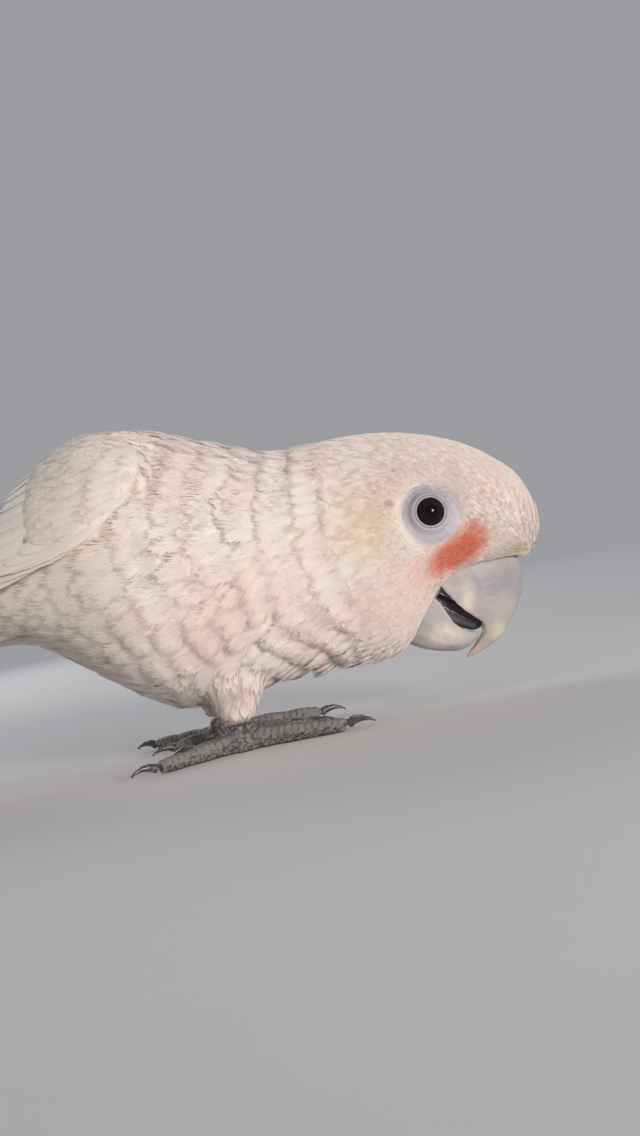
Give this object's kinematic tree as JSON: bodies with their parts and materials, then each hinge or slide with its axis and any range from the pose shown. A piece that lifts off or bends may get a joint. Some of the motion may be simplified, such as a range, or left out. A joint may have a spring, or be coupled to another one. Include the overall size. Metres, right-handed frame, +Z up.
{
  "type": "cockatoo",
  "caption": "Life-size white cockatoo crouching forward on its feet, neck stretched out, crest folded, bill slightly open, wings folded over a straight tail.",
  "frame": {"origin": "middle of the bounding box's underside, on the plane that the toes stand on", "axes": "+X from the tail towards the face, +Z up, +Y to the bird's left side"},
  "size_m": [0.3014, 0.0716, 0.09],
  "materials": {
    "plumage": "soft matt warm-white contour feathers",
    "blush": "soft matt white feathers with a faint pink flush",
    "quill": "smooth cream-white flight and tail feathers",
    "bill": "pale bone-grey horn with a low polish",
    "tongue": "dark grey, moist and fine-grained",
    "eye": "wet black-brown eye",
    "eye_skin": "bare wrinkled skin, pale grey-blue",
    "foot": "scaly grey skin",
    "claw": "dark grey horn"
  },
  "bodies": {
    "root": {"head": "plumage", "crest": "plumage", "neck": "blush", "trunk": "blush", "rump": "plumage", "bill_upper": "bill", "bill_lower": "bill", "tongue": "tongue", "eye_right": "eye", "eye_ring_right": "eye_skin", "wing_right_shoulder": "plumage", "wing_right_coverts": "quill", "wing_right_alula": "quill", "wing_right_secondaries": "quill", "wing_right_primaries": "quill", "tail_right_1": "quill", "tail_right_2": "quill", "tail_right_3": "quill", "tail_right_4": "quill", "tail_right_5": "quill", "tail_right_6": "quill", "leg_right": "plumage", "foot_right": "foot", "claw_right_front_outer": "claw", "claw_right_front_inner": "claw", "claw_right_rear_outer": "claw", "claw_right_rear_inner": "claw", "eye_left": "eye", "eye_ring_left": "eye_skin", "wing_left_shoulder": "plumage", "wing_left_coverts": "quill", "wing_left_alula": "quill", "wing_left_secondaries": "quill", "wing_left_primaries": "quill", "tail_left_1": "quill", "tail_left_2": "quill", "tail_left_3": "quill", "tail_left_4": "quill", "tail_left_5": "quill", "tail_left_6": "quill", "leg_left": "plumage", "foot_left": "foot", "claw_left_front_outer": "claw", "claw_left_front_inner": "claw", "claw_left_rear_outer": "claw", "claw_left_rear_inner": "claw"}
  },
  "joints": []
}
